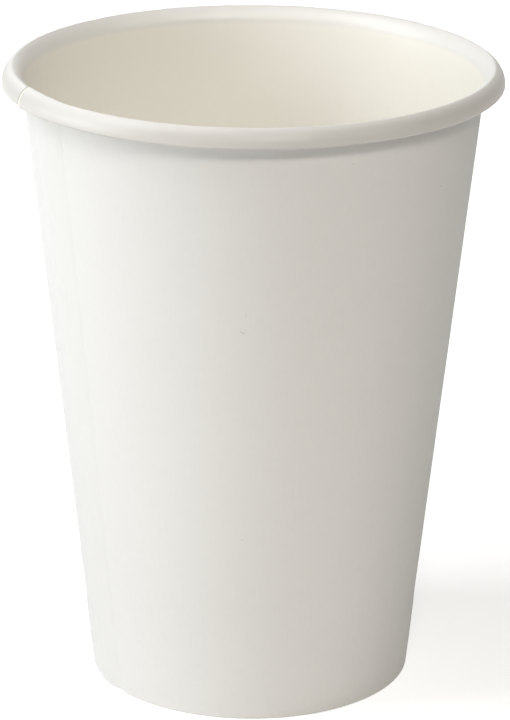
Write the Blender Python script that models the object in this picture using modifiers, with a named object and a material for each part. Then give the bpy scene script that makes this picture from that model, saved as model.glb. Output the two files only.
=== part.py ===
"""Single-wall paper coffee cup of about 0.35 litres, open at the top.

It is two pieces of board. The side wall is one flat blank that is wrapped to a
cone, lapped and glued along one seam, curled outwards at the top and hemmed
inwards at the bottom. The bottom is a drawn disc whose skirt the hem traps.

Units are metres and +Z is up. The origin is the centre of the ring that the cup
stands on. A cross-section is drawn in the plane of radius and height.
"""

import math

import bmesh
import bpy
from mathutils import Vector

# Overall sizes, over the outer faces
HEIGHT = 0.115
RIM_RADIUS = 0.045
BASE_RADIUS = 0.0292

# Board and the room that two pieces keep between them
WALL_BOARD = 0.00032
BOTTOM_BOARD = 0.00028
SEAT_GAP = 0.0003
GLUE_LINE = 0.00005

# Rolled rim: the curl's outer radius, then how far its raw edge winds inside it
ROLL_RADIUS = 0.00188
TUCK_RADIUS = 0.00115
ROLL_SWEEP = math.radians(385)
TUCK_START = math.radians(225)

# Side seam: the lap's width at the rim, its place, and the run-up of the outer ply
LAP_WIDTH = 0.0087
LAP_RAMP = 0.0040
SEAM_ANGLE = math.radians(199.5)

# Hem, and the band above it that the three plies push outwards
HEM_HEIGHT = 0.0072
FOLD_RADIUS = 0.00034
BAND_HEIGHT = 0.0100
BAND_FADE = 0.0040
BAND_PROUD = 0.00012

# Bottom disc: the height of its underside, its drawn corner and its crown
FLOOR_HEIGHT = 0.0090
CORNER_RADIUS = 0.0010
FLOOR_CROWN = 0.0004

# How finely the forms are cut into facets
TURN_COLUMNS = 58
LAP_COLUMNS = 2
ROLL_STEPS = 22
FOLD_STEPS = 3
CORNER_STEPS = 4
CROWN_STEPS = 4
DISC_STEPS = 60

# Sizes that follow from those above
ROLL_MIDDLE = ROLL_RADIUS - WALL_BOARD / 2
ROLL_CENTRE = Vector((RIM_RADIUS - ROLL_RADIUS, HEIGHT - ROLL_RADIUS))
FOOT = Vector((BASE_RADIUS - WALL_BOARD / 2, 0.0))
PLY = WALL_BOARD + GLUE_LINE
TRAPPED = BOTTOM_BOARD + 2 * SEAT_GAP


def ease(share):
    """A smooth step from 0 to 1 as share goes from 0 to 1."""
    share = min(max(share, 0.0), 1.0)
    return share * share * (3 - 2 * share)


def wall_lean():
    """The wall's angle to the axis: it rises from the foot as a tangent to the roll."""
    to_roll = ROLL_CENTRE - FOOT
    return math.atan2(to_roll.x, to_roll.y) - math.asin(ROLL_MIDDLE / to_roll.length)


LEAN = wall_lean()


def cone_radius(height, inwards=0.0):
    """The radius of the wall's middle surface, or of one that lies inwards of it by some thickness."""
    return FOOT.x + height * math.tan(LEAN) - inwards / math.cos(LEAN)


def band(height):
    """How far the wall stands out where the hem and the skirt are glued behind it."""
    return BAND_PROUD * (1 - ease((height - BAND_HEIGHT) / BAND_FADE))


def rounded_corner(before, corner, after, radius, steps):
    """The points of an arc that rounds one corner of a line."""
    way_in = (before - corner).normalized()
    way_out = (after - corner).normalized()
    half = way_in.angle(way_out) / 2
    centre = corner + (way_in + way_out).normalized() * radius / math.sin(half)
    start = corner + way_in * radius / math.tan(half) - centre
    sweep = start.angle_signed(corner + way_out * radius / math.tan(half) - centre)
    points = []
    for step in range(steps + 1):
        turn = -sweep * step / steps
        cos, sin = math.cos(turn), math.sin(turn)
        points.append(centre + Vector((start.x * cos - start.y * sin, start.x * sin + start.y * cos)))
    return points


def hem_and_fold():
    """The section from the hem's raw edge, down inside the cup's foot and out under it."""
    inwards = TRAPPED + WALL_BOARD
    ground = WALL_BOARD / 2
    raw_edge = Vector((cone_radius(HEM_HEIGHT, inwards), HEM_HEIGHT))
    inner_corner = Vector((cone_radius(ground, inwards), ground))
    outer_corner = Vector((cone_radius(ground) + BAND_PROUD, ground))
    up_the_wall = Vector((cone_radius(BAND_HEIGHT) + BAND_PROUD, BAND_HEIGHT))
    return [
        raw_edge,
        *rounded_corner(raw_edge, inner_corner, outer_corner, FOLD_RADIUS, FOLD_STEPS),
        *rounded_corner(inner_corner, outer_corner, up_the_wall, FOLD_RADIUS, FOLD_STEPS),
    ]


def straight_wall():
    """The section from the glued band at the foot up to where the roll begins."""
    below_roll = ROLL_CENTRE.y - 2 * ROLL_RADIUS
    heights = [
        BAND_HEIGHT,
        BAND_HEIGHT + BAND_FADE / 2,
        BAND_HEIGHT + BAND_FADE,
        (BAND_HEIGHT + BAND_FADE + below_roll) / 2,
        below_roll,
    ]
    return [Vector((cone_radius(height) + band(height), height)) for height in heights]


def tuck_share(swept):
    """How far the curl has closed in on its tuck, from 0 where it leaves the round to 1."""
    return ease((swept - TUCK_START) / (math.tau - TUCK_START))


def rolled_rim():
    """The section of the curl: up over the lip, down outside, and in again behind it."""
    points = []
    for step in range(ROLL_STEPS + 1):
        swept = ROLL_SWEEP * step / ROLL_STEPS
        radius = ROLL_MIDDLE - (ROLL_MIDDLE - TUCK_RADIUS) * tuck_share(swept)
        angle = math.pi - LEAN - swept
        points.append(ROLL_CENTRE + radius * Vector((math.cos(angle), math.sin(angle))))
    return points


def outer_sides(points):
    """At each point, the direction across the board towards the face that is the cup's outside."""
    sides = []
    for index, point in enumerate(points):
        before = points[max(index - 1, 0)]
        after = points[min(index + 1, len(points) - 1)]
        arriving = (point - before).normalized() if index else (after - point).normalized()
        leaving = (after - point).normalized() if index < len(points) - 1 else arriving
        along = (arriving + leaving).normalized()
        mitre = max(along.dot(arriving), 0.5)
        sides.append(Vector((along.y, -along.x)) / mitre)
    return sides


def column_angles():
    """The azimuths of the blank's columns from the seam: the lap's own come round again at the end."""
    lap = LAP_WIDTH / ROLL_CENTRE.x
    ramp = LAP_RAMP / ROLL_CENTRE.x
    inner_lap = [lap * i / LAP_COLUMNS for i in range(LAP_COLUMNS + 1)]
    first, last = lap + ramp, math.tau - ramp
    round_cup = [first + (last - first) * i / TURN_COLUMNS for i in range(TURN_COLUMNS + 1)]
    return inner_lap + round_cup + [math.tau + angle for angle in inner_lap]


def ply_lift(column, columns):
    """1 on the columns that lie as a second ply over the first ones, 0 elsewhere."""
    return 1.0 if column >= columns - LAP_COLUMNS - 1 else 0.0


def two_plies(column, columns):
    """1 on the columns where the board lies double, under or over, 0 elsewhere."""
    return 1.0 if column <= LAP_COLUMNS or ply_lift(column, columns) else 0.0


def wrap_blank(blank):
    """Wraps the flat grid: its columns run round the cup, its rows follow the section."""
    hem = hem_and_fold()
    roll = rolled_rim()
    section = hem + straight_wall() + roll
    sides = outer_sides(section)
    first_roll_row = len(section) - len(roll)
    angles = column_angles()
    for vert in blank.verts:
        column = round((vert.co.x + 0.5) * (len(angles) - 1))
        row = round((vert.co.y + 0.5) * (len(section) - 1))
        swept = ROLL_SWEEP * max(row - first_roll_row, 0) / ROLL_STEPS
        double = two_plies(column, len(angles))
        outwards = PLY * (ply_lift(column, len(angles)) + double * tuck_share(swept))
        lifted = PLY * double * (1 - ease(section[row].y / (2 * BAND_HEIGHT)))
        place = section[row] + sides[row] * outwards + Vector((0, lifted))
        azimuth = SEAM_ANGLE + angles[column]
        vert.co = (place.x * math.cos(azimuth), place.x * math.sin(azimuth), place.y)


def solid_board(obj, thickness):
    """Gives an open sheet the thickness of its board, half to each side."""
    board = obj.modifiers.new("Board", "SOLIDIFY")
    board.thickness = thickness
    board.offset = 0
    board.use_even_offset = True
    board.use_quality_normals = True


def paper(name, colour, roughness):
    """A plain coated board: a matt, pale, non-metallic surface."""
    material = bpy.data.materials.new(name)
    material.diffuse_color = (*colour, 1)
    material.use_nodes = True
    surface = material.node_tree.nodes["Principled BSDF"]
    surface.inputs["Base Color"].default_value = (*colour, 1)
    surface.inputs["Roughness"].default_value = roughness
    surface.inputs["Metallic"].default_value = 0.0
    return material


def make_side_wall(collection):
    """The wrapped blank, with its lap seam, rolled rim and hem."""
    blank = bmesh.new()
    columns = len(column_angles()) - 1
    rows = len(hem_and_fold() + straight_wall() + rolled_rim()) - 1
    bmesh.ops.create_grid(blank, x_segments=columns, y_segments=rows, size=0.5)
    wrap_blank(blank)
    mesh = bpy.data.meshes.new("side_wall")
    blank.to_mesh(mesh)
    blank.free()
    mesh.shade_smooth()
    wall = bpy.data.objects.new("side_wall", mesh)
    collection.objects.link(wall)
    solid_board(wall, WALL_BOARD)
    mesh.materials.append(paper("white_board", (0.86, 0.85, 0.82), 0.55))
    return wall


def disc_section():
    """The bottom's middle surface from the axis outwards, round its corner and down its skirt."""
    middle = FLOOR_HEIGHT + BOTTOM_BOARD / 2
    inwards = WALL_BOARD / 2 + SEAT_GAP + BOTTOM_BOARD / 2
    corner = Vector((cone_radius(middle, inwards), middle))
    skirt_end = WALL_BOARD + PLY + SEAT_GAP
    skirt = Vector((cone_radius(skirt_end, inwards), skirt_end))
    rounding = rounded_corner(Vector((0, middle)), corner, skirt, CORNER_RADIUS, CORNER_STEPS)
    panel = rounding[0].x
    crown = [
        Vector((panel * i / CROWN_STEPS, middle + FLOOR_CROWN * (1 - ease(i / CROWN_STEPS))))
        for i in range(CROWN_STEPS)
    ]
    return crown + rounding + [skirt]


def make_bottom_disc(collection):
    """The drawn bottom, turned about the cup's axis."""
    mesh = bpy.data.meshes.new("bottom_disc")
    section = [(point.x, 0, point.y) for point in disc_section()]
    edges = [(i, i + 1) for i in range(len(section) - 1)]
    mesh.from_pydata(section, edges, [])
    disc = bpy.data.objects.new("bottom_disc", mesh)
    collection.objects.link(disc)
    turn = disc.modifiers.new("Turn", "SCREW")
    turn.steps = turn.render_steps = DISC_STEPS
    turn.use_merge_vertices = True
    turn.merge_threshold = 0.00001
    turn.use_smooth_shade = True
    solid_board(disc, BOTTOM_BOARD)
    mesh.materials.append(paper("coated_board", (0.84, 0.82, 0.76), 0.45))
    return disc


def clear_scene():
    """Takes the startup objects away."""
    for obj in list(bpy.data.objects):
        bpy.data.objects.remove(obj)


def main():
    clear_scene()
    cup = bpy.data.collections.new("paper_cup")
    bpy.context.scene.collection.children.link(cup)
    make_side_wall(cup)
    make_bottom_disc(cup)


main()
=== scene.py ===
"""Paper coffee cup, dressed: two pieces of board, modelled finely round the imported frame.

The side wall is drawn as the section of its board, spun past a full turn so that it
laps over itself, and given its thickness. The bottom is a disc that is crowned and
turned down to a skirt. Both ride on the frame's one body. Units are metres, +Z is up,
and the cup stands on z = 0 with its axis on the origin. The viewer stands at -Y.
"""

import logging
import math
from dataclasses import dataclass, replace
from enum import Enum
from typing import Callable

import bmesh
import bpy
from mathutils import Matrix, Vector

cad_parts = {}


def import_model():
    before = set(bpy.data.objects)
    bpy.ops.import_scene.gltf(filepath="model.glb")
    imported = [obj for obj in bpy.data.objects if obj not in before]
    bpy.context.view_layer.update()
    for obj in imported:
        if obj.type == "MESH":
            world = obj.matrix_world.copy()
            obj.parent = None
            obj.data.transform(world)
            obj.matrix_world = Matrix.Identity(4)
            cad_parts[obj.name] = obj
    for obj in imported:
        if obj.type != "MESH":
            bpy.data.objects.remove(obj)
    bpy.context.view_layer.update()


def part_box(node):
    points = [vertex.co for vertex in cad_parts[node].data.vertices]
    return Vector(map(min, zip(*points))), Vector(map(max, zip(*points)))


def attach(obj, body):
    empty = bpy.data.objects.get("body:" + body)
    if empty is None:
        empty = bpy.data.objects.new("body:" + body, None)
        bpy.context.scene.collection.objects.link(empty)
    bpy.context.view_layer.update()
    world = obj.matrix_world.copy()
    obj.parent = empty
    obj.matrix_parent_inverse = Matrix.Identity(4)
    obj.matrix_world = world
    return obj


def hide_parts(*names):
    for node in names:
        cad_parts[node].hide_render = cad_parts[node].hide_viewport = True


LOG = logging.getLogger("paper_cup")
MM = 0.001
CAMERA_TARGET = Vector((0.607, 0, 58.763)) * MM
SECTION_TURN = (0, 1, 0)
CUP_AXIS = (0, 0, 1)
SMOOTH_ANGLE = math.radians(50)
# Places that are no further apart than this count as level or as one.
HAIR = 0.01 * MM
Colour = tuple[float, float, float]


class Face(Enum):
    """The surfaces of a piece of board, each as its place among the piece's materials."""

    FRONT = 0
    BACK = 1
    RAW_EDGE = 2


class Across(Enum):
    """The two directions on a flat blank, each as its axis of the blank's map."""

    ROUND_THE_CUP = "X"
    UP_THE_BOARD = "Y"


class MixSocket(Enum):
    """The sockets of a colour Mix node, which are found by number because other types share their names."""

    FIRST = 6
    SECOND = 7
    RESULT = 2


def ease(share: float) -> float:
    """A smooth step from 0 to 1 as share goes from 0 to 1."""
    share = min(max(share, 0.0), 1.0)
    return share * share * (3 - 2 * share)


@dataclass(frozen=True)
class CupSizes:
    """Sizes that both pieces share. The frame gives the overall ones."""

    height: float
    rim_radius: float
    base_radius: float = 29.2 * MM
    roll_radius: float = 1.88 * MM
    crest_radius: float = 0.34 * MM
    wall_board: float = 0.32 * MM
    bottom_board: float = 0.28 * MM
    glue_line: float = 0.03 * MM

    @classmethod
    def from_frame(cls, node: str) -> "CupSizes":
        """Reads the overall sizes from a CAD node.

        Args:
            node: The name of the side wall's node.

        Returns:
            The sizes of the cup.
        """
        low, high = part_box(node)
        return cls(height=high.z, rim_radius=max(high.x, high.y, -low.x, -low.y))

    @property
    def roll_middle(self) -> float:
        """The radius of the roll at the middle of its board."""
        return self.roll_radius - self.wall_board / 2

    @property
    def roll_centre(self) -> Vector:
        """The centre of the roll in the section's plane."""
        return Vector((self.rim_radius - self.roll_radius, 0, self.height - self.roll_radius))

    @property
    def crest_rise(self) -> float:
        """How far the crest's centre lies above the roll's."""
        return self.roll_middle - self.crest_radius

    @property
    def lean(self) -> float:
        """The wall's angle to the axis, as it rises from the foot to meet the roll as a tangent."""
        to_roll = self.roll_centre - Vector((self.base_radius - self.wall_board / 2, 0, 0))
        return math.atan2(to_roll.x, to_roll.z) - math.asin(self.roll_middle / to_roll.length)

    @property
    def ply(self) -> float:
        """How far the second ply of the lap lies from the first."""
        return self.wall_board + self.glue_line

    def radius_at(self, height: float, inwards: float = 0.0) -> float:
        """The radius of the wall's middle, or of a cone that lies inwards of it.

        Args:
            height: The height above the table.
            inwards: The distance from the wall's middle, across the board.

        Returns:
            The radius from the cup's axis.
        """
        middle = self.base_radius - self.wall_board / 2 + height * math.tan(self.lean)
        return middle - inwards / math.cos(self.lean)


def towards(heading: float) -> Vector:
    """A direction in the section's plane, from the cup's axis at 0 over straight up to outwards."""
    return Vector((-math.cos(heading), 0, math.sin(heading)))


def edit(obj: bpy.types.Object) -> bmesh.types.BMesh:
    """Opens one object in edit mode with nothing of it selected.

    Args:
        obj: The object to edit.

    Returns:
        Its editable mesh.
    """
    bpy.ops.object.select_all(action="DESELECT")
    obj.select_set(True)
    bpy.context.view_layer.objects.active = obj
    bpy.ops.object.mode_set(mode="EDIT")
    bpy.ops.mesh.select_mode(type="VERT")
    bpy.ops.mesh.select_all(action="DESELECT")
    return bmesh.from_edit_mesh(obj.data)


def leave_edit() -> None:
    """Goes back to object mode."""
    bpy.ops.object.mode_set(mode="OBJECT")


def pick(obj: bpy.types.Object, wanted: Callable[[Vector], bool]) -> None:
    """Selects the vertices of the edited object by their place.

    Args:
        obj: The object in edit mode.
        wanted: Says of a vertex's place whether it is selected.
    """
    bpy.ops.mesh.select_all(action="DESELECT")
    mesh = bmesh.from_edit_mesh(obj.data)
    for vert in mesh.verts:
        if wanted(vert.co):
            vert.select_set(True)
    mesh.select_flush(True)
    bmesh.update_edit_mesh(obj.data)


def extrude_by(step: Vector) -> None:
    """Extrudes what is selected, and leaves its far end selected."""
    bpy.ops.mesh.extrude_region_move(TRANSFORM_OT_translate={"value": step})


def spin_by(angle: float, steps: int, centre: Vector, axis: tuple[int, int, int]) -> None:
    """Spins what is selected by the right-hand rule about an axis.

    Args:
        angle: The turn in radians. The operator turns the other way, so its sign is changed.
        steps: How many steps the turn takes.
        centre: A point on the axis.
        axis: The axis's direction.
    """
    bpy.ops.mesh.spin(steps=steps, angle=-angle, center=centre, axis=axis)


def apply_modifiers(obj: bpy.types.Object) -> None:
    """Applies all of an object's modifiers in their order."""
    bpy.ops.object.select_all(action="DESELECT")
    obj.select_set(True)
    bpy.context.view_layer.objects.active = obj
    for modifier in list(obj.modifiers):
        bpy.ops.object.modifier_apply(modifier=modifier.name)


def weigh(obj: bpy.types.Object, name: str, weights: list[float]) -> None:
    """Makes a vertex group from a weight for each vertex.

    Args:
        obj: The object.
        name: The group's name.
        weights: One weight for each vertex. Only those above 0 are put in the group.
    """
    group = obj.vertex_groups.new(name=name)
    for index, weight in enumerate(weights):
        if weight > 0:
            group.add([index], weight, "REPLACE")


def push(
    obj: bpy.types.Object, name: str, group: str, strength: float, direction: str = "NORMAL"
) -> None:
    """Adds a modifier that moves a vertex group evenly.

    Args:
        obj: The object.
        name: The modifier's name.
        group: The vertex group that says how much of the move each vertex makes.
        strength: The whole move.
        direction: NORMAL, or X, Y or Z.
    """
    modifier = obj.modifiers.new(name, "DISPLACE")
    modifier.direction = direction
    modifier.strength = strength
    modifier.mid_level = 0
    modifier.vertex_group = group


def unevenness(obj: bpy.types.Object, name: str, group: str, scale: float, height: float) -> None:
    """Adds a modifier that makes a surface slightly uneven, as board is.

    Args:
        obj: The object.
        name: The modifier's and its texture's name.
        group: The vertex group that says how uneven each vertex may be.
        scale: The size of the swellings.
        height: Their height from lowest to highest.
    """
    clouds = bpy.data.textures.new(name, "CLOUDS")
    clouds.noise_scale = scale
    clouds.noise_depth = 1
    modifier = obj.modifiers.new(name, "DISPLACE")
    modifier.texture = clouds
    modifier.texture_coords = "LOCAL"
    modifier.strength = height
    modifier.mid_level = 0.5
    modifier.vertex_group = group


def thicken(obj: bpy.types.Object, thickness: float) -> bpy.types.SolidifyModifier:
    """Adds the modifier that gives a sheet its thickness, with a material for each Face.

    Args:
        obj: The sheet, which lies in the middle of its board.
        thickness: The board's thickness.

    Returns:
        The new modifier.
    """
    board = obj.modifiers.new("Board", "SOLIDIFY")
    board.thickness = thickness
    board.offset = 0
    board.use_even_offset = True
    board.use_quality_normals = True
    board.material_offset = Face.BACK.value
    board.material_offset_rim = Face.RAW_EDGE.value
    return board


class NodeSheet:
    """A short way to lay out the nodes of a material or the world and join them."""

    def __init__(self, owner: bpy.types.Material | bpy.types.World, shader: str) -> None:
        """Turns the owner's nodes on and finds its shader.

        Args:
            owner: The new material or world.
            shader: The name of the shader node that it starts with.
        """
        owner.use_nodes = True
        self.tree = owner.node_tree
        self.shader = self.tree.nodes[shader]

    def add(self, kind: str, **values: object) -> bpy.types.Node:
        """Adds a node.

        Args:
            kind: The node's type, without its ShaderNode prefix.
            **values: Its properties.

        Returns:
            The new node.
        """
        node = self.tree.nodes.new("ShaderNode" + kind)
        for name, value in values.items():
            setattr(node, name, value)
        return node

    def join(self, output: bpy.types.NodeSocket, target: bpy.types.NodeSocket) -> None:
        """Links one socket to another."""
        self.tree.links.new(output, target)

    def feed(self, target: bpy.types.NodeSocket, value: object) -> None:
        """Sets a socket to a number or colour, or links it to an output."""
        if isinstance(value, bpy.types.NodeSocket):
            self.join(value, target)
        else:
            target.default_value = value

    def maths(self, operation: str, *values: object) -> bpy.types.NodeSocket:
        """Adds a Math node.

        Args:
            operation: The operation's name.
            *values: Its numbers or outputs, in their order.

        Returns:
            Its result.
        """
        node = self.add("Math", operation=operation)
        for target, value in zip(node.inputs, values):
            self.feed(target, value)
        return node.outputs[0]

    def blend(self, share: object, first: object, second: Colour) -> bpy.types.NodeSocket:
        """Mixes two colours.

        Args:
            share: How much of the second colour, as a number or output.
            first: The colour or output at 0.
            second: The colour at 1.

        Returns:
            The mixed colour.
        """
        node = self.add("Mix", data_type="RGBA")
        self.feed(node.inputs[0], share)
        self.feed(node.inputs[MixSocket.FIRST.value], (*first, 1) if isinstance(first, tuple) else first)
        self.feed(node.inputs[MixSocket.SECOND.value], (*second, 1))
        return node.outputs[MixSocket.RESULT.value]

    def step(
        self,
        value: bpy.types.NodeSocket,
        start: float = 0.0,
        end: float = 1.0,
        first: float = 0.0,
        last: float = 1.0,
    ) -> bpy.types.NodeSocket:
        """Goes smoothly from one number to another as a value rises or falls.

        Args:
            value: The value.
            start: The value at which the step starts.
            end: The value at which it ends, which may be the lower one.
            first: The number up to the start.
            last: The number from the end on.

        Returns:
            The number.
        """
        node = self.add("MapRange", interpolation_type="SMOOTHSTEP")
        self.join(value, node.inputs["Value"])
        settings = {"From Min": start, "From Max": end, "To Min": first, "To Max": last}
        for name, number in settings.items():
            node.inputs[name].default_value = number
        return node.outputs[0]

    def length(self, vector: bpy.types.NodeSocket) -> bpy.types.NodeSocket:
        """Adds a node that gives a vector's length."""
        node = self.add("VectorMath", operation="LENGTH")
        self.join(vector, node.inputs[0])
        return node.outputs["Value"]

    def mapped(self, place: bpy.types.NodeSocket, setting: str, value: object) -> bpy.types.NodeSocket:
        """Moves, turns or scales coordinates.

        Args:
            place: The coordinates.
            setting: Location, Rotation or Scale.
            value: The setting's three numbers.

        Returns:
            The new coordinates.
        """
        node = self.add("Mapping")
        node.inputs[setting].default_value = value
        self.join(place, node.inputs["Vector"])
        return node.outputs[0]

    def noise(
        self, place: bpy.types.NodeSocket, grain: Vector, detail: float, rough: float
    ) -> bpy.types.NodeSocket:
        """Adds noise whose grains have a given size along each axis.

        Args:
            place: The coordinates, in metres.
            grain: The size of a grain along each axis.
            detail: How many finer layers it has.
            rough: How strong the finer layers are.

        Returns:
            The noise, from 0 to 1.
        """
        node = self.add("TexNoise")
        node.inputs["Scale"].default_value = 1.0
        node.inputs["Detail"].default_value = detail
        node.inputs["Roughness"].default_value = rough
        self.join(self.mapped(place, "Scale", [1 / size for size in grain]), node.inputs["Vector"])
        return node.outputs["Fac"]

    def bump(
        self, height: bpy.types.NodeSocket, distance: float, under: bpy.types.NodeSocket | None = None
    ) -> bpy.types.NodeSocket:
        """Adds a bump layer.

        Args:
            height: The height, from 0 to 1.
            distance: The real height of 1.
            under: The normal of the layer below, if any.

        Returns:
            The bumped normal.
        """
        node = self.add("Bump")
        node.inputs["Distance"].default_value = distance
        self.join(height, node.inputs["Height"])
        if under is not None:
            self.join(under, node.inputs["Normal"])
        return node.outputs[0]


@dataclass(frozen=True)
class Mark:
    """A small dent or scuff that board picks up when it is handled.

    The place is its middle, the reach its half size along each axis, the tilt its turn
    about Y, the depth that of the dent, and the shade how much darker its middle is.
    """

    place: Vector
    reach: Vector
    tilt: float = 0.0
    depth: float = 0.05 * MM
    shade: float = 0.25

    def weight(self, sheet: NodeSheet, place: bpy.types.NodeSocket) -> bpy.types.NodeSocket:
        """How much of the mark a point of the surface has.

        Args:
            sheet: The material's node sheet.
            place: The point's coordinates.

        Returns:
            A number from 0 outside the mark to 1 at its middle.
        """
        centred = sheet.mapped(place, "Location", -self.place)
        turned = sheet.mapped(centred, "Rotation", (0, self.tilt, 0))
        scaled = sheet.mapped(turned, "Scale", [1 / size for size in self.reach])
        return sheet.step(sheet.length(scaled), first=1.0, last=0.0)


@dataclass(frozen=True)
class Band:
    """A band of another colour along the flat blank, as the painted shade at the curl, and at the cut edge.

    Its colour starts to show at start and is full after fade, which is less than 0
    where the band lies on the lower side of its start.
    """

    colour: Colour
    across: Across
    start: float
    fade: float

    def over(self, sheet: NodeSheet, colour: bpy.types.NodeSocket) -> bpy.types.NodeSocket:
        """Lays the band over the board's colour.

        Args:
            sheet: The material's node sheet.
            colour: The colour of the board without the band.

        Returns:
            The colour over the whole board.
        """
        blank = sheet.add("UVMap", uv_map="blank")
        apart = sheet.add("SeparateXYZ")
        sheet.join(blank.outputs[0], apart.inputs[0])
        share = sheet.step(apart.outputs[self.across.value], self.start, self.start + self.fade)
        return sheet.blend(share, colour, self.colour)


@dataclass(frozen=True)
class BoardFinish:
    """The look of one surface of cup board.

    Its colour goes from light to dark with the fibres, whose size the grain gives, and with
    wider swellings. Bands and marks are laid over that.
    """

    name: str
    light: Colour
    dark: Colour
    roughness: float
    specular: float
    grain: Vector
    grain_height: float
    swell: float
    swell_height: float
    fibre_share: float = 0.5
    gloss_spread: float = 0.12
    bands: tuple[Band, ...] = ()
    marks: tuple[Mark, ...] = ()

    def material(self) -> bpy.types.Material:
        """Makes the surface's node material.

        Returns:
            The material: mottled colour, uneven gloss, and fibres and swellings as bump.
        """
        material = bpy.data.materials.new(self.name)
        sheet = NodeSheet(material, "Principled BSDF")
        place = sheet.add("TexCoord").outputs["Object"]
        fibres = sheet.noise(place, self.grain, detail=3.0, rough=0.6)
        mottle = sheet.noise(place, Vector((self.swell,) * 3), detail=4.0, rough=0.55)
        mottled = sheet.maths("MULTIPLY", mottle, 1 - self.fibre_share)
        tone = sheet.maths("MULTIPLY_ADD", fibres, self.fibre_share, mottled)
        colour = sheet.blend(tone, self.light, self.dark)
        for band in self.bands:
            colour = band.over(sheet, colour)
        weights = [mark.weight(sheet, place) for mark in self.marks]
        for mark, weight in zip(self.marks, weights):
            colour = sheet.blend(sheet.maths("MULTIPLY", weight, mark.shade), colour, (0.0, 0.0, 0.0))
        sheet.join(colour, sheet.shader.inputs["Base Color"])
        lowest = self.roughness - self.gloss_spread / 2
        gloss = sheet.maths("MULTIPLY_ADD", mottle, self.gloss_spread, lowest)
        sheet.join(gloss, sheet.shader.inputs["Roughness"])
        sheet.shader.inputs["Specular IOR Level"].default_value = self.specular
        normal = sheet.bump(mottle, self.swell_height)
        for mark, weight in zip(self.marks, weights):
            normal = sheet.bump(sheet.maths("SUBTRACT", 1.0, weight), mark.depth, normal)
        sheet.join(sheet.bump(fibres, self.grain_height, normal), sheet.shader.inputs["Normal"])
        return material


WHITE_PAPER = BoardFinish(
    name="white_paper",
    light=(0.76, 0.753, 0.735),
    dark=(0.71, 0.703, 0.685),
    roughness=0.62,
    specular=0.35,
    grain=Vector((0.5, 0.5, 2.5)) * MM,
    grain_height=0.012 * MM,
    swell=2.2 * MM,
    swell_height=0.03 * MM,
)
FILM_COAT = BoardFinish(
    name="film_coat",
    light=(0.975, 0.95, 0.885),
    dark=(0.945, 0.92, 0.85),
    roughness=0.42,
    specular=0.6,
    grain=Vector((0.7, 0.7, 2.5)) * MM,
    grain_height=0.006 * MM,
    swell=3.0 * MM,
    swell_height=0.03 * MM,
)
MARKS = (
    Mark(Vector((-1.50, -37.55, 76.74)) * MM, Vector((0.45, 0.8, 0.16)) * MM, math.radians(-25), 0.10 * MM),
    Mark(Vector((-1.95, -37.55, 76.95)) * MM, Vector((0.10, 0.8, 0.30)) * MM, 0.0, 0.06 * MM),
    Mark(Vector((-0.99, -37.92, 79.96)) * MM, Vector((0.10, 0.8, 0.40)) * MM, 0.0, 0.05 * MM),
    Mark(Vector((-1.49, -33.15, 36.50)) * MM, Vector((0.20, 0.8, 0.20)) * MM),
    Mark(Vector((32.84, -22.86, 99.07)) * MM, Vector((0.25, 0.8, 0.20)) * MM),
    Mark(Vector((17.06, -37.16, 107.11)) * MM, Vector((0.25, 0.8, 0.15)) * MM),
    Mark(Vector((25.16, -32.60, 109.75)) * MM, Vector((0.30, 0.8, 0.15)) * MM),
)
CUT_BOARD = BoardFinish(
    name="cut_board",
    light=(0.82, 0.80, 0.75),
    dark=(0.72, 0.69, 0.62),
    roughness=0.85,
    specular=0.2,
    grain=Vector((0.12, 0.12, 0.8)) * MM,
    grain_height=0.02 * MM,
    swell=0.4 * MM,
    swell_height=0.02 * MM,
)


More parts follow.
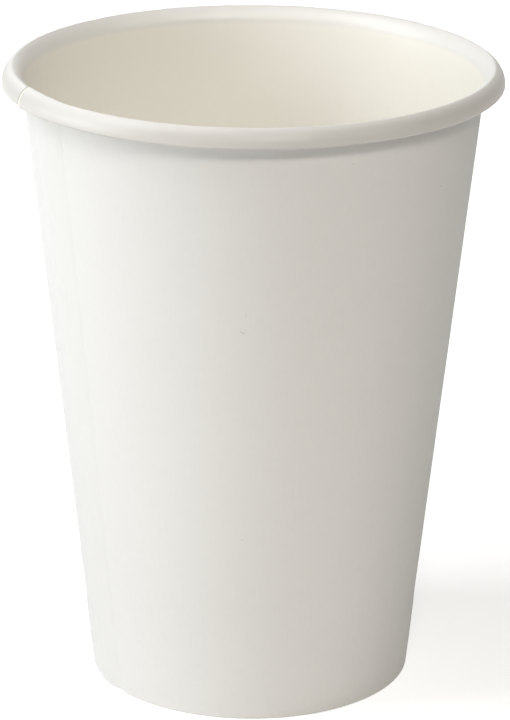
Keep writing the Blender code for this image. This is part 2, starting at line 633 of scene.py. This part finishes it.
@dataclass
class SideWall:
    """The side wall: one blank that is rolled at its rim, lapped at its seam and hemmed at its foot.

    The headings in the roll go from the cup's axis at 0 over straight up to outwards. The
    pressed share and gap are the thickness and the clearance of the second ply's end, where
    the lap is pressed flush. Where the board is double, the roll is drawn in by room_outside
    of a ply and the tuck is opened by tuck_plies of them. The colours are those of bands
    on the film, by place on the blank. Those of the flare, the curl and the crevice are
    darker than real film, and stand in for shade that the lamps don't give there.
    """

    sizes: CupSizes
    node: str = "side_wall"
    slot: str = "white_board"
    seam_angle: float = math.radians(204.5)
    lap_width: float = 8.7 * MM
    lap_ramp: float = 3.2 * MM
    pressed_width: float = 6.0 * MM
    pressed_share: float = 0.05
    pressed_gap: float = 0.005 * MM
    room_outside: float = 0.45
    tuck_plies: float = 2.0
    groove_half: float = 0.7 * MM
    groove_depth: float = 0.06 * MM
    wave_size: float = 14 * MM
    wave_height: float = 0.10 * MM
    pucker_size: float = 1.7 * MM
    pucker_height: float = 0.085 * MM
    # Painted shade on the film where the wall flares out into the roll.
    flare_painted_shade: Colour = (0.89, 0.875, 0.845)
    flare_fade: float = 1.2 * MM
    # Painted shade: the film over the roll's crest and outer side is made darker than the film itself.
    curl_painted_shade: Colour = (0.60, 0.58, 0.55)
    curl_fade: float = 2.6 * MM
    curl_lead: float = 0.26 * MM
    cut_colour: Colour = (0.84, 0.81, 0.73)
    cut_width: float = 1.0 * MM
    # Painted shadow: a dark line along the raw edge of the seam's first ply.
    crevice_painted_shadow: Colour = (0.34, 0.32, 0.28)
    crevice_width: float = 0.32 * MM
    crest_start: float = math.radians(60)
    crest_end: float = math.radians(120)
    crest_vertices: int = 48
    flare_steps: int = 8
    under_radius: float = 0.36 * MM
    under_end: float = math.radians(250)
    tuck_radius: float = 1.5 * MM
    tuck_end: float = math.radians(385)
    hem_height: float = 7.2 * MM
    band_height: float = 10.0 * MM
    band_fade: float = 4.0 * MM
    band_proud: float = 0.18 * MM
    foot_hold: float = 1.0 * MM
    columns: int = 400
    lap_columns: int = 48
    bend_steps: int = 9
    wall_cuts: int = 30
    hem_rows: int = 3
    fold_corner: float = 0.18 * MM
    fold_steps: int = 6

    @property
    def fold_span(self) -> float:
        """The distance between the wall's and the hem's middles, with the skirt held between them."""
        sizes = self.sizes
        return sizes.bottom_board + 2 * sizes.glue_line + sizes.wall_board

    def band(self, height: float) -> float:
        """How far the wall stands out in front of the skirt and the hem."""
        return self.band_proud * (1 - ease((height - self.band_height) / self.band_fade))

    def turn(self, width: float) -> float:
        """The angle round the cup that a width takes up at the rim."""
        return width / self.sizes.rim_radius

    @property
    def flare_radius(self) -> float:
        """The radius of the flare, the bend that leads the wall outwards to the crest.

        Returns:
            The radius at which the flare meets both the wall and the crest as a tangent.
        """
        bend = math.cos(self.crest_start - self.sizes.lean)
        reach = self.sizes.roll_middle - self.sizes.crest_rise * math.sin(self.sizes.lean)
        return (reach - self.sizes.crest_radius * bend) / (1 - bend)

    @property
    def flare_length(self) -> float:
        """The length of board in the flare."""
        return self.flare_radius * (self.crest_start - self.sizes.lean)

    @property
    def bends(self) -> tuple[tuple[float, float], ...]:
        """The bends after the crest: the outer side, the turn under and the tuck.

        Returns:
            For each, its radius and the heading where it ends.
        """
        start = math.cos(self.crest_end)
        side_radius = (self.sizes.roll_middle + self.sizes.crest_radius * start) / (1 + start)
        side = (side_radius, math.pi)
        return side, (self.under_radius, self.under_end), (self.tuck_radius, self.tuck_end)

    @property
    def tuck_length(self) -> float:
        """The length of board that is tucked into the roll."""
        return self.tuck_radius * (self.tuck_end - self.under_end)

    @property
    def curl_length(self) -> float:
        """The length of board in the whole curl.

        Returns:
            The length from the wall's top to the raw edge inside the roll.
        """
        length = self.flare_length + self.sizes.crest_radius * (self.crest_end - self.crest_start)
        start = self.crest_end
        for radius, end in self.bends:
            length += radius * (end - start)
            start = end
        return length

    def draw_roll(self) -> tuple[bpy.types.Object, Vector]:
        """Draws the roll's section: a flare up to a tight crest, a long outer side and the tuck.

        Returns:
            The section so far, in the XZ plane, and the place where the wall joins it.
        """
        sizes = self.sizes
        centre = sizes.roll_centre + Vector((0, 0, sizes.crest_rise))
        bpy.ops.object.select_all(action="DESELECT")
        bpy.ops.mesh.primitive_circle_add(
            vertices=self.crest_vertices,
            radius=sizes.crest_radius,
            location=centre,
            rotation=(math.pi / 2, 0, 0),
        )
        section = bpy.context.object
        bpy.ops.object.transform_apply(location=True, rotation=True, scale=True)
        edit(section)
        near = sizes.crest_radius * math.pi / self.crest_vertices
        headings = (self.crest_start, self.crest_end)
        ends = [centre + towards(heading) * sizes.crest_radius for heading in headings]
        pick(section, lambda place: place.z < ends[0].z - near)
        bpy.ops.mesh.delete(type="VERT")
        pick(section, lambda place: (place - ends[0]).length < near)
        flare_centre = centre + towards(self.crest_start) * (sizes.crest_radius - self.flare_radius)
        spin_by(sizes.lean - self.crest_start, self.flare_steps, flare_centre, SECTION_TURN)
        wall_top = flare_centre + towards(sizes.lean) * self.flare_radius
        pick(section, lambda place: (place - ends[1]).length < near)
        radius, start = sizes.crest_radius, self.crest_end
        for bend_radius, end in self.bends:
            centre = centre + towards(start) * (radius - bend_radius)
            spin_by(end - start, self.bend_steps, centre, SECTION_TURN)
            radius, start = bend_radius, end
        return section, wall_top

    def draw_wall_and_hem(self, section: bpy.types.Object, top: Vector) -> None:
        """Extrudes the section down the wall, spins it round the fold and up the hem.

        Args:
            section: The roll's section, in edit mode.
            top: The place where the wall joins the roll.
        """
        sizes = self.sizes
        lean, corner = sizes.lean, self.fold_corner
        upwards = Vector((math.sin(lean), 0, math.cos(lean)))
        inwards = Vector((-math.cos(lean), 0, math.sin(lean)))
        margin = self.flare_length / self.flare_steps / 2
        near = margin / 10
        pick(section, lambda place: (place - top).length < margin)
        ground = sizes.wall_board / 2
        foot_height = ground + corner * (1 - math.sin(lean))
        foot = Vector((sizes.radius_at(foot_height), 0, foot_height))
        extrude_by(foot - top)
        pick(section, lambda place: (place - top).length < margin or (place - foot).length < margin)
        bpy.ops.mesh.subdivide(number_cuts=self.wall_cuts)
        mesh = bmesh.from_edit_mesh(section.data)
        for vert in mesh.verts:
            vert.co.x += self.band(vert.co.z)
        bmesh.update_edit_mesh(section.data)
        foot.x += self.band(foot.z)
        pick(section, lambda place: (place - foot).length < near)
        outer_turn = foot + inwards * corner
        spin_by(math.pi / 2 + lean, self.fold_steps, outer_turn, SECTION_TURN)
        hem_foot = foot + inwards * self.fold_span
        inner_turn = hem_foot - inwards * corner
        inner_turn += upwards * (outer_turn.z - inner_turn.z) / upwards.z
        extrude_by(Vector((inner_turn.x - outer_turn.x, 0, 0)))
        spin_by(math.pi / 2 - lean, self.fold_steps, inner_turn, SECTION_TURN)
        hem_start = inner_turn + inwards * corner
        for _ in range(self.hem_rows):
            extrude_by(upwards * (self.hem_height - hem_start.z) / upwards.z / self.hem_rows)
        leave_edit()

    def measure_along(self, section: bpy.types.Object) -> None:
        """Gives each vertex of the section its distance along the board from the hem's raw edge.

        The section also gets an empty attribute "again", for the part that is spun a second
        time past its own start.

        Args:
            section: The whole section.
        """
        mesh = edit(section)
        layer = mesh.verts.layers.float.new("along")
        mesh.verts.layers.float.new("again")
        ends = [vert for vert in mesh.verts if len(vert.link_edges) == 1]
        vert = min(ends, key=lambda end: end.co.z)
        walked, edge = 0.0, None
        while vert is not None:
            vert[layer] = walked
            edge = next((e for e in vert.link_edges if e is not edge), None)
            if edge is None or walked and len(vert.link_edges) == 1:
                break
            walked += edge.calc_length()
            vert = edge.other_vert(vert)
        bmesh.update_edit_mesh(section.data)
        leave_edit()

    def wrap(self, section: bpy.types.Object) -> None:
        """Spins the section round the cup, and on over its own start as the lap's second ply.

        Args:
            section: The whole section. It becomes the sheet.
        """
        ramp = self.turn(self.lap_ramp)
        edit(section)
        bpy.ops.mesh.select_all(action="SELECT")
        spin_by(math.tau - ramp, self.columns, Vector(), CUP_AXIS)
        mesh = bmesh.from_edit_mesh(section.data)
        layer = mesh.verts.layers.float["again"]
        for vert in mesh.verts:
            if vert.select:
                vert[layer] = 1.0
        bmesh.update_edit_mesh(section.data)
        spin_by(ramp + self.turn(self.lap_width), self.lap_columns, Vector(), CUP_AXIS)
        mesh = bmesh.from_edit_mesh(section.data)
        wall_face = max(mesh.faces, key=lambda face: face.calc_area())
        if wall_face.normal.xy.dot(wall_face.calc_center_median().xy) < 0:
            bpy.ops.mesh.select_all(action="SELECT")
            bpy.ops.mesh.flip_normals()
        leave_edit()

    def lay_plies(self, sheet: bpy.types.Object) -> None:
        """Lifts the second ply clear of the first, and makes room for both in the roll and the fold.

        Args:
            sheet: The wrapped sheet.
        """
        ramp, lap = self.turn(self.lap_ramp), self.turn(self.lap_width)
        pressed, groove = self.turn(self.pressed_width), self.turn(self.groove_half)
        again = [item.value for item in sheet.data.attributes["again"].data]
        along = [item.value for item in sheet.data.attributes["along"].data]
        whole = max(along)
        flush = self.sizes.wall_board * (1 + self.pressed_share) / 2 + self.pressed_gap
        thinned = 1 - flush / self.sizes.ply
        names = ("full_board", "second_ply", "tuck_room", "roll_room", "roll_groove", "foot_room")
        weights = {name: [] for name in names}
        around = sheet.data.attributes.new("round", "FLOAT", "POINT")
        for vert, late, walked in zip(sheet.data.vertices, again, along):
            angle = math.atan2(vert.co.y, vert.co.x) % math.tau
            if late:
                angle += math.tau if angle < math.pi else 0
            elif angle > math.tau - ramp / 2:
                angle = 0.0
            around.data[vert.index].value = angle
            lifted = ease((angle - math.tau + ramp) / ramp) if late else 0.0
            under = 0.0 if late else 1 - ease((angle - lap) / ramp)
            double = max(lifted, under)
            thin = ease((angle - math.tau - lap + pressed) / pressed) if late else 0.0
            in_roll = ease((walked - whole + self.curl_length) / self.flare_length)
            in_tuck = ease((walked - whole + self.tuck_length) / self.tuck_length)
            weights["full_board"].append(1 - thin)
            weights["second_ply"].append(lifted - thin * thinned)
            weights["tuck_room"].append(double * in_tuck)
            weights["roll_room"].append(double * in_roll)
            weights["roll_groove"].append(
                late * in_roll * ease(1 - abs(angle - math.tau + groove / 2) / groove)
            )
            weights["foot_room"].append(double * (1 - ease(vert.co.z / (2 * self.band_height))))
        for name, values in weights.items():
            weigh(sheet, name, values)
        ply = self.sizes.ply
        push(sheet, "RollRoom", "roll_room", -ply * self.room_outside)
        push(sheet, "LapOver", "second_ply", ply)
        push(sheet, "RollGroove", "roll_groove", self.groove_depth)
        push(sheet, "TuckRoom", "tuck_room", self.tuck_plies * ply)
        push(sheet, "FootRoom", "foot_room", ply, "Z")

    def lay_out_blank(self, sheet: bpy.types.Object) -> None:
        """Gives the sheet the map of its flat blank, in metres round and along the board.

        Args:
            sheet: The wrapped sheet.
        """
        around = sheet.data.attributes["round"].data
        along = sheet.data.attributes["along"].data
        blank = sheet.data.uv_layers.new(name="blank")
        for loop in sheet.data.loops:
            index = loop.vertex_index
            run = around[index].value * self.sizes.rim_radius
            blank.uv[loop.index].vector = (run, along[index].value)

    def film(self, length: float) -> BoardFinish:
        """The film on the inner side, with bands of painted shade at the flare and the curl, a band at the
        cut edge, and a painted shadow line at the crevice.

        Args:
            length: The whole length along the board, from the hem's raw edge to the curl's.

        Returns:
            The finish.
        """
        flare = length - self.curl_length
        crest = flare + self.flare_length
        up, around = Across.UP_THE_BOARD, Across.ROUND_THE_CUP
        # The flare and curl bands are painted shade, and the crevice band is a painted shadow line.
        bands = (
            Band(self.flare_painted_shade, up, flare - self.flare_fade / 2, self.flare_fade),
            Band(self.curl_painted_shade, up, crest - self.curl_lead, self.curl_fade),
            Band(self.cut_colour, around, self.cut_width, -self.cut_width / 2),
            Band(self.crevice_painted_shadow, around, self.crevice_width, -self.crevice_width / 3),
        )
        return replace(FILM_COAT, name="curled_film_painted_shade", bands=bands)

    def make_board(self, sheet: bpy.types.Object) -> None:
        """Gives the sheet its finishes and its board's thickness, which fades where the lap is pressed.

        Args:
            sheet: The wrapped sheet.
        """
        length = max(item.value for item in sheet.data.attributes["along"].data)
        for finish in (replace(WHITE_PAPER, marks=MARKS), self.film(length), CUT_BOARD):
            sheet.data.materials.append(finish.material())
        board = thicken(sheet, self.sizes.wall_board)
        board.vertex_group = "full_board"
        board.thickness_vertex_group = self.pressed_share

    def build(self) -> bpy.types.Object:
        """Models the side wall.

        Returns:
            The finished piece.
        """
        section, wall_top = self.draw_roll()
        self.draw_wall_and_hem(section, wall_top)
        self.measure_along(section)
        self.wrap(section)
        self.lay_plies(section)
        self.lay_out_blank(section)
        free = [ease((vert.co.z - self.foot_hold) / self.band_fade) for vert in section.data.vertices]
        weigh(section, "free_board", free)
        unevenness(section, "BoardWave", "free_board", self.wave_size, self.wave_height)
        roll_foot = self.sizes.height - 2 * self.sizes.roll_radius
        curled = [ease((vert.co.z - roll_foot) / self.sizes.roll_radius) for vert in section.data.vertices]
        weigh(section, "curled_board", curled)
        unevenness(section, "RollPucker", "curled_board", self.pucker_size, self.pucker_height)
        self.make_board(section)
        apply_modifiers(section)
        section.rotation_euler.z = self.seam_angle
        bpy.ops.object.transform_apply(location=True, rotation=True, scale=True)
        bpy.ops.object.shade_smooth_by_angle(angle=SMOOTH_ANGLE)
        section.name = section.data.name = "lapped_side_wall"
        return section


@dataclass
class BottomDisc:
    """The bottom: a disc of coated board, crowned a little, with its skirt turned down.

    The skirt ends above the table by skirt_boards thicknesses of the wall's board and the
    skirt's clearance. The crown keeps panel_corners corner radii away from the edge.
    """

    sizes: CupSizes
    node: str = "bottom_disc"
    slot: str = "coated_board"
    underside: float = 9.0 * MM
    crown: float = 0.4 * MM
    corner_radius: float = 0.8 * MM
    skirt_clear: float = 0.3 * MM
    skirt_boards: float = 1.5
    panel_corners: float = 1.5
    edge_share: float = 0.99
    columns: int = 240
    rings: int = 10
    skirt_rows: int = 3
    corner_steps: int = 8

    def build(self) -> bpy.types.Object:
        """Models the bottom disc.

        Returns:
            The finished piece.
        """
        sizes = self.sizes
        top = self.underside + sizes.bottom_board / 2
        inwards = (sizes.wall_board + sizes.bottom_board) / 2 + sizes.glue_line
        edge = sizes.radius_at(top, inwards)
        bpy.ops.object.select_all(action="DESELECT")
        bpy.ops.mesh.primitive_circle_add(
            vertices=self.columns, radius=edge, location=(0, 0, top), fill_type="TRIFAN"
        )
        disc = bpy.context.object
        bpy.ops.object.transform_apply(location=True, rotation=True, scale=True)
        edit(disc)
        self.turn_down_skirt(disc, edge, top, inwards)
        self.crown_panel(disc, edge, top)
        leave_edit()
        for finish in (FILM_COAT, WHITE_PAPER, CUT_BOARD):
            disc.data.materials.append(finish.material())
        thicken(disc, sizes.bottom_board)
        apply_modifiers(disc)
        bpy.ops.object.shade_smooth_by_angle(angle=SMOOTH_ANGLE)
        disc.name = disc.data.name = "drawn_bottom"
        return disc

    def turn_down_skirt(self, disc: bpy.types.Object, edge: float, top: float, inwards: float) -> None:
        """Extrudes the disc's edge down along the wall and rounds the corner that this leaves.

        Args:
            disc: The flat disc, in edit mode.
            edge: Its radius.
            top: Its height.
            inwards: How far the skirt's middle lies inside the wall's.
        """
        skirt_end = self.sizes.wall_board * self.skirt_boards + self.skirt_clear
        inside_edge = edge * self.edge_share
        pick(disc, lambda place: place.xy.length > inside_edge)
        height = top - skirt_end
        for row in range(1, self.skirt_rows + 1):
            before = self.sizes.radius_at(top - height * (row - 1) / self.skirt_rows, inwards)
            after = self.sizes.radius_at(top - height * row / self.skirt_rows, inwards)
            extrude_by(Vector((0, 0, -height / self.skirt_rows)))
            shrink = after / before
            bpy.ops.transform.resize(value=(shrink, shrink, 1), center_override=(0, 0, 0))
        bpy.ops.mesh.select_mode(type="EDGE")
        mesh = bmesh.from_edit_mesh(disc.data)
        for corner in mesh.edges:
            places = [vert.co for vert in corner.verts]
            corner.select_set(all(p.xy.length > inside_edge and p.z > top - HAIR for p in places))
        bmesh.update_edit_mesh(disc.data)
        bpy.ops.mesh.bevel(
            offset=self.corner_radius, segments=self.corner_steps, profile=0.5, affect="EDGES"
        )
        bpy.ops.mesh.select_mode(type="VERT")

    def crown_panel(self, disc: bpy.types.Object, edge: float, top: float) -> None:
        """Cuts rings into the flat panel and raises it a little towards its middle.

        Args:
            disc: The disc, in edit mode.
            edge: The radius of its corner.
            top: The height of its flat panel.
        """
        bpy.ops.mesh.select_mode(type="EDGE")
        mesh = bmesh.from_edit_mesh(disc.data)
        for spoke in mesh.edges:
            spoke.select_set(any(vert.co.xy.length < HAIR for vert in spoke.verts))
        bmesh.update_edit_mesh(disc.data)
        bpy.ops.mesh.subdivide(number_cuts=self.rings)
        mesh = bmesh.from_edit_mesh(disc.data)
        panel = edge - self.corner_radius * self.panel_corners
        for vert in mesh.verts:
            if vert.co.z > top - HAIR:
                vert.co.z += self.crown * (1 - ease(vert.co.xy.length / panel))
        bmesh.update_edit_mesh(disc.data)
        bpy.ops.mesh.select_mode(type="VERT")


@dataclass(frozen=True)
class SoftLamp:
    """A soft box, or a small card near the floor, that lights the cup.

    The bearing, in degrees, is 0 at the viewer and grows to the right, and the elevation is
    in degrees too. The distance, width and height are in metres.
    """

    name: str
    bearing: float
    elevation: float
    distance: float
    width: float
    height: float
    watts: float
    colour: Colour

    def place(self, target: Vector) -> None:
        """Puts the lamp in the scene.

        Args:
            target: The point that it looks at.
        """
        bearing, elevation = math.radians(self.bearing), math.radians(self.elevation)
        flat = math.cos(elevation)
        away = Vector((math.sin(bearing) * flat, -math.cos(bearing) * flat, math.sin(elevation)))
        data = bpy.data.lights.new(self.name, "AREA")
        data.shape = "RECTANGLE"
        data.size, data.size_y = self.width, self.height
        data.energy = self.watts
        data.color = self.colour
        lamp = bpy.data.objects.new(self.name, data)
        lamp.location = target + away * self.distance
        lamp.rotation_euler = (-away).to_track_quat("-Z", "Y").to_euler()
        lamp.visible_camera = False
        bpy.context.scene.collection.objects.link(lamp)


DAYLIGHT = (0.96, 0.985, 1.0)
ROOM_LIGHT = (0.985, 0.94, 0.865)
LAMPS = (
    SoftLamp("near_left_lamp", -80, 36, 0.40, 0.22, 0.26, 0.30, DAYLIGHT),
    SoftLamp("left_lamp", -80, 14, 0.70, 0.35, 0.35, 2.35, DAYLIGHT),
    SoftLamp("high_left_lamp", -80, 52, 0.70, 0.35, 0.35, 1.12, DAYLIGHT),
    SoftLamp("left_front_lamp", -60, 45, 0.70, 0.35, 0.35, 0.27, DAYLIGHT),
    SoftLamp("front_lamp", 0, 38, 1.2, 0.14, 0.14, 1.78, ROOM_LIGHT),
    SoftLamp("right_front_lamp", 20, 38, 1.2, 0.14, 0.14, 2.62, ROOM_LIGHT),
    SoftLamp("high_front_lamp", 20, 60, 1.2, 0.30, 0.30, 0.50, ROOM_LIGHT),
    SoftLamp("right_lamp", 60, 30, 1.2, 0.35, 0.35, 1.85, ROOM_LIGHT),
    SoftLamp("high_right_lamp", 85, 68, 1.2, 0.35, 0.35, 0.55, ROOM_LIGHT),
    SoftLamp("back_lamp", 175, 18, 1.2, 0.50, 0.50, 0.90, DAYLIGHT),
    SoftLamp("floor_card", -20, -14, 0.19, 0.12, 0.03, 0.040, ROOM_LIGHT),
    SoftLamp("right_floor_card", 30, -14, 0.19, 0.12, 0.03, 0.014, ROOM_LIGHT),
)


@dataclass(frozen=True)
class Studio:
    """The pale floor, the white surroundings, the lamps and the camera."""

    target: Vector
    floor_colour: Colour = (0.80, 0.80, 0.80)
    near_glow: float = 0.56
    near_radius: float = 50 * MM
    far_radius: float = 220 * MM
    floor_size: float = 12.0
    camera_distance: float = 694.4 * MM
    camera_elevation: float = math.radians(19.175)
    camera_roll: float = math.radians(0.380)
    camera_clip: tuple[float, float] = (0.05, 50.0)
    lens: float = 189.1
    sensor_width: float = 36.0

    def seen_by_camera(self, sheet: NodeSheet) -> bpy.types.NodeSocket:
        """Tells the rays that see the surroundings, straight or as gloss, from diffuse ones.

        Args:
            sheet: The node sheet of the floor's material or the world.

        Returns:
            A number that is 1 for camera, glossy and transmission rays and 0 for others.
        """
        path = sheet.add("LightPath")
        seen = sheet.maths("MAXIMUM", path.outputs["Is Camera Ray"], path.outputs["Is Glossy Ray"])
        return sheet.maths("MAXIMUM", seen, path.outputs["Is Transmission Ray"])

    def lay_floor(self) -> None:
        """Lays a pale floor, with a glow that rises away from the cup and shows it as white there."""
        bpy.ops.object.select_all(action="DESELECT")
        bpy.ops.mesh.primitive_plane_add(size=self.floor_size, location=(0, 0, 0))
        floor = bpy.context.object
        floor.name = floor.data.name = "studio_floor"
        material = bpy.data.materials.new("studio_white")
        sheet = NodeSheet(material, "Principled BSDF")
        sheet.shader.inputs["Base Color"].default_value = (*self.floor_colour, 1)
        sheet.shader.inputs["Roughness"].default_value = 1.0
        sheet.shader.inputs["Specular IOR Level"].default_value = 0.0
        sheet.shader.inputs["Emission Color"].default_value = (1, 1, 1, 1)
        distance = sheet.length(sheet.add("TexCoord").outputs["Object"])
        away = sheet.step(distance, self.near_radius, self.far_radius, self.near_glow)
        glow = sheet.maths("MULTIPLY", self.seen_by_camera(sheet), away)
        sheet.join(glow, sheet.shader.inputs["Emission Strength"])
        floor.data.materials.append(material)

    def set_surroundings(self) -> None:
        """Makes a world that shows as plain white, also in gloss, and gives no diffuse light."""
        world = bpy.data.worlds.new("white_room")
        bpy.context.scene.world = world
        sheet = NodeSheet(world, "Background")
        sheet.shader.inputs["Color"].default_value = (1, 1, 1, 1)
        sheet.join(self.seen_by_camera(sheet), sheet.shader.inputs["Strength"])

    def set_camera(self) -> None:
        """Sets the camera where the photograph was taken from."""
        data = bpy.data.cameras.new("camera")
        data.lens = self.lens
        data.sensor_width = self.sensor_width
        data.clip_start, data.clip_end = self.camera_clip
        camera = bpy.data.objects.new("camera", data)
        flat = math.cos(self.camera_elevation)
        away = Vector((0, -flat, math.sin(self.camera_elevation)))
        camera.location = self.target + away * self.camera_distance
        camera.rotation_euler = (-away).to_track_quat("-Z", "Y").to_euler()
        camera.rotation_euler.rotate_axis("Z", self.camera_roll)
        bpy.context.scene.collection.objects.link(camera)
        bpy.context.scene.camera = camera

    def build(self) -> None:
        """Sets up the whole studio."""
        self.lay_floor()
        self.set_surroundings()
        for lamp in LAMPS:
            lamp.place(self.target)
        self.set_camera()
        bpy.context.scene.view_settings.view_transform = "Standard"


def seat(piece: bpy.types.Object, maker: SideWall | BottomDisc) -> None:
    """Ties a finished piece to the frame in place of its CAD node, and reports it.

    Args:
        piece: The finished piece.
        maker: The class instance that built it.
    """
    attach(piece, "root")
    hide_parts(maker.node)
    LOG.info("%s: %d faces, in place of %s", piece.name, len(piece.data.polygons), maker.node)


def main() -> None:
    """Builds the cup and its studio round the frame."""
    logging.basicConfig(level=logging.INFO, format="%(name)s %(message)s")
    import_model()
    sizes = CupSizes.from_frame("side_wall")
    for maker in (SideWall(sizes), BottomDisc(sizes)):
        seat(maker.build(), maker)
    Studio(target=CAMERA_TARGET).build()


if __name__ == "__main__":
    main()
